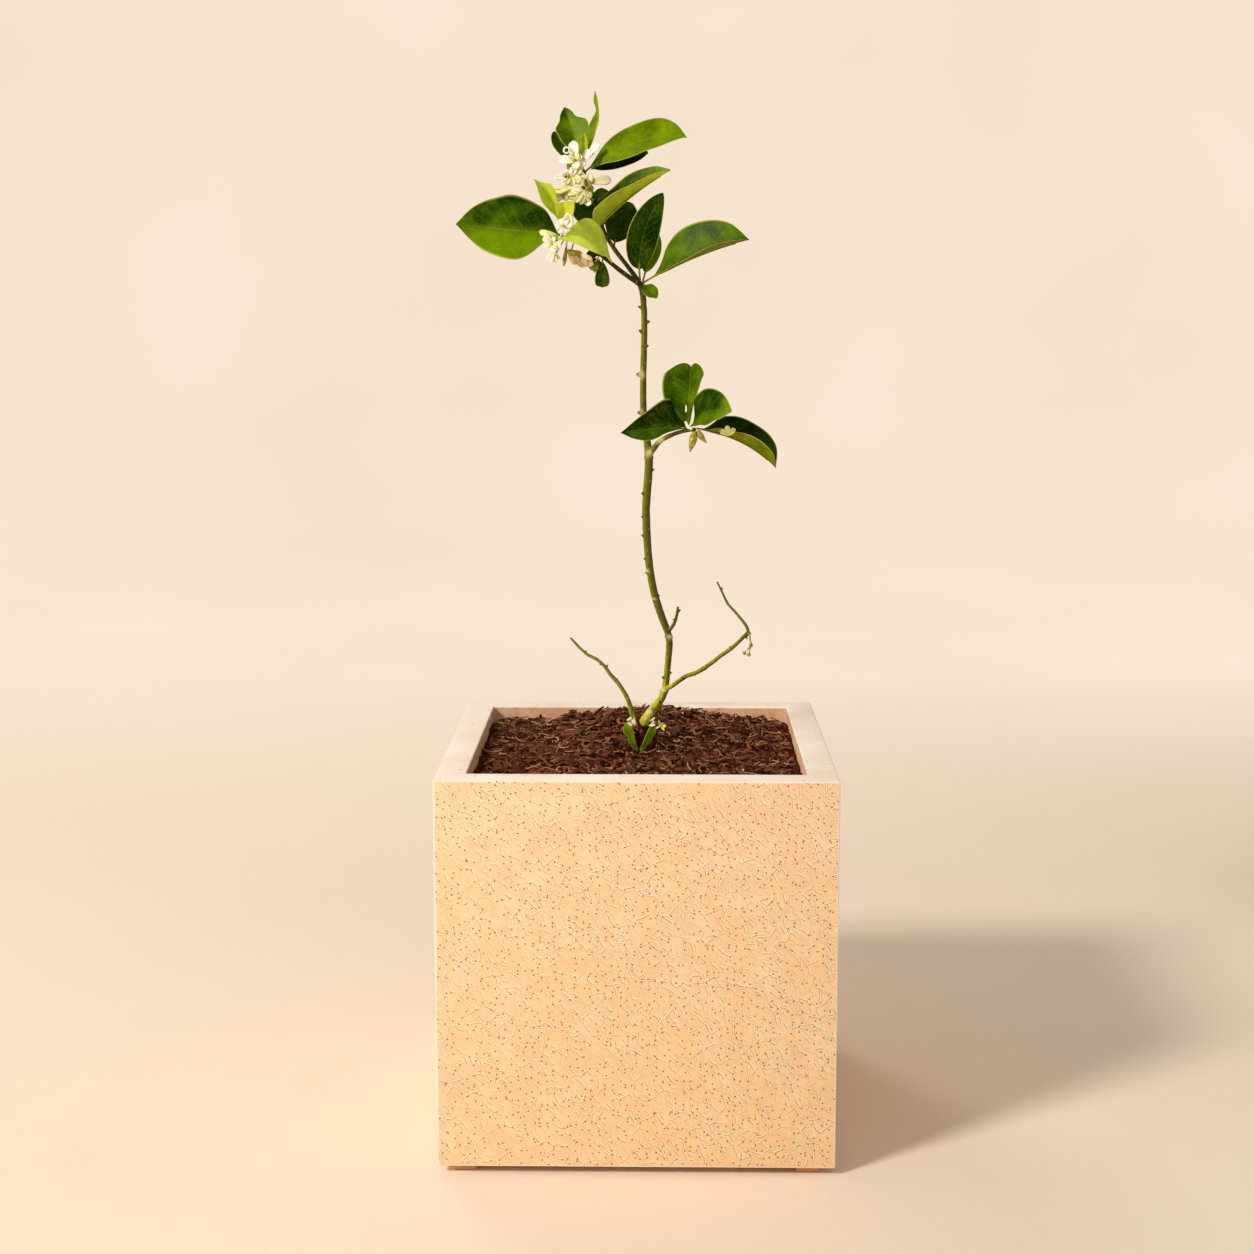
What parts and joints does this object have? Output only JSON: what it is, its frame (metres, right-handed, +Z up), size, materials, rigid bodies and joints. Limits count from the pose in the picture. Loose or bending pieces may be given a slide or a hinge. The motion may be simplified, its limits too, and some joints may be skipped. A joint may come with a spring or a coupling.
{
  "type": "potted citrus tree",
  "caption": "Slender young citrus tree in flower, with glossy leaves and bare side twigs, growing in a square cast-stone planter on small feet.",
  "frame": {"origin": "middle of the planter's footprint, on the ground under its feet", "axes": "+Z up along the stem, -Y towards the front, +X to the right seen from the front"},
  "size_m": [0.4, 0.4, 1.0882],
  "materials": {
    "cast_stone": "matte",
    "soil": "matte",
    "green_bark": "satin",
    "leaf_green": "satin",
    "petal_white": "matte",
    "spent_olive": "matte"
  },
  "bodies": {
    "root": {"base_leaf_left": "leaf_green", "base_leaf_right": "leaf_green", "blossom_at_base": "petal_white", "blossom_faded": "petal_white", "blossom_front": "petal_white", "blossom_left": "petal_white", "blossom_lower_left": "petal_white", "blossom_middle_left": "petal_white", "blossom_middle_right": "petal_white", "blossom_top": "petal_white", "blossom_upper_left": "petal_white", "blossom_upper_right": "petal_white", "crown_leaf_back": "leaf_green", "crown_leaf_back_low": "leaf_green", "crown_leaf_bract": "leaf_green", "crown_leaf_fork": "leaf_green", "crown_leaf_front": "leaf_green", "crown_leaf_hanging": "leaf_green", "crown_leaf_hanging_small": "leaf_green", "crown_leaf_inner": "leaf_green", "crown_leaf_inner_small": "leaf_green", "crown_leaf_left": "leaf_green", "crown_leaf_left_narrow": "leaf_green", "crown_leaf_right_high": "leaf_green", "crown_leaf_right_low": "leaf_green", "crown_leaf_right_mid": "leaf_green", "crown_leaf_shaded_high": "leaf_green", "crown_leaf_shaded_left": "leaf_green", "crown_leaf_shaded_low": "leaf_green", "crown_leaf_tip": "leaf_green", "crown_leaf_young": "leaf_green", "fallen_petal_left": "petal_white", "fallen_petal_right": "petal_white", "foot_back_left": "cast_stone", "foot_back_right": "cast_stone", "foot_front_left": "cast_stone", "foot_front_right": "cast_stone", "fruitlet": "spent_olive", "middle_leaf_drooping": "leaf_green", "middle_leaf_left": "leaf_green", "middle_leaf_right": "leaf_green", "middle_leaf_upright": "leaf_green", "planter": "cast_stone", "potting_soil": "soil", "spent_flower_crown": "spent_olive", "spent_flower_dangling": "spent_olive", "spent_flower_middle_left": "spent_olive", "spent_flower_middle_right": "spent_olive", "woody_stem": "green_bark"}
  },
  "joints": []
}
